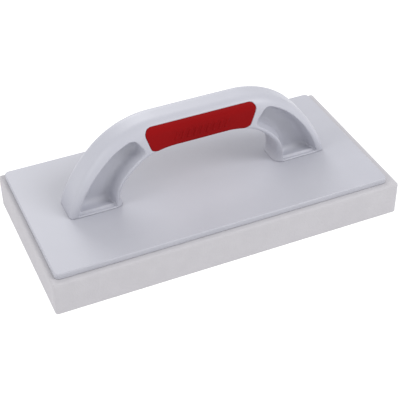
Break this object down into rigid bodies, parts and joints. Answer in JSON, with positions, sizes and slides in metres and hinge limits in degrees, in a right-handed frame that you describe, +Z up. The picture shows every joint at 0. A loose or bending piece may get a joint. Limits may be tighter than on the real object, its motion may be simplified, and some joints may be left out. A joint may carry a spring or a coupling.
{
  "type": "sponge hand float",
  "caption": "Rectangular plasterer's hand float: a thick foam block bonded under a moulded plastic plate, with a bridge handle that has a soft grip and cored-out legs.",
  "frame": {"origin": "centre of the foam's flat working face, at the bottom of the float", "axes": "+X along the float's length and the handle's bar, +Y across it, +Z up from the working face to the hand"},
  "size_m": [0.28, 0.14, 0.0995],
  "materials": {
    "sole_foam": "fine open-cell white foam, matte",
    "adhesive": "translucent grey bonding film, only its edge shows",
    "plate_plastic": "pale blue-grey moulded plastic with a fine satin texture",
    "handle_plastic": "pale blue-grey moulded plastic, satin",
    "grip_rubber": "deep red soft-touch over-moulding, satin",
    "screw_steel": "bright zinc-plated steel"
  },
  "bodies": {
    "root": {"foam_pad": "sole_foam", "adhesive_film": "adhesive", "backing_plate": "plate_plastic", "handle": "handle_plastic", "grip_insert": "grip_rubber", "handle_screws": "screw_steel"}
  },
  "joints": []
}
